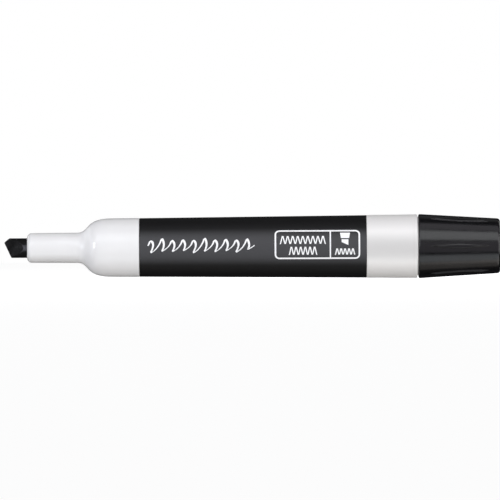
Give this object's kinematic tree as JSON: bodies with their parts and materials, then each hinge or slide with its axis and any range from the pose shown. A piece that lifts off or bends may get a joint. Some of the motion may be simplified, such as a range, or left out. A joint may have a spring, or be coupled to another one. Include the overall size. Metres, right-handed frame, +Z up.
{
  "type": "whiteboard marker",
  "caption": "Chisel-tip whiteboard marker with a slim neck, a labelled tapered barrel and its ribbed cap pushed on the tail; it writes on dry-wipe boards.",
  "frame": {"origin": "bottom centre of the bounding box, on the surface that the marker lies on", "axes": "+X along the barrel's axis from the nib to the cap, -Y towards the printed panel of the label, +Z up"},
  "size_m": [0.1338, 0.0176, 0.0173],
  "materials": {
    "nib_felt": "pressed felt soaked with black ink, slightly shiny where it is cut",
    "white_plastic": "white moulded polypropylene, glossy, very slightly wavy",
    "barrel_plastic": "pearly white moulded polypropylene, glossy",
    "label_film": "satin black printed film",
    "label_print": "white ink printed on the film",
    "reservoir_fibre": "bundled polyester fibre soaked with black ink",
    "reservoir_wrap": "thin pale wrapping film",
    "plug_plastic": "white moulded polypropylene, plain",
    "cap_plastic": "black moulded polypropylene, glossy",
    "liner_plastic": "soft white polyethylene, semi-gloss"
  },
  "bodies": {
    "marker": {"nib": "nib_felt", "front_section": "white_plastic", "barrel_tube": "barrel_plastic", "label_sleeve": "label_film", "reservoir_core": "reservoir_fibre", "reservoir_film": "reservoir_wrap", "tail_plug": "plug_plastic"},
    "cap": {"cap_shell": "cap_plastic", "cap_liner": "liner_plastic"}
  },
  "joints": [
    {"name": "cap_slide", "type": "slide", "parent": "marker", "child": "cap", "axis": [1, 0, 0], "range_m": [0, 0.03]}
  ]
}
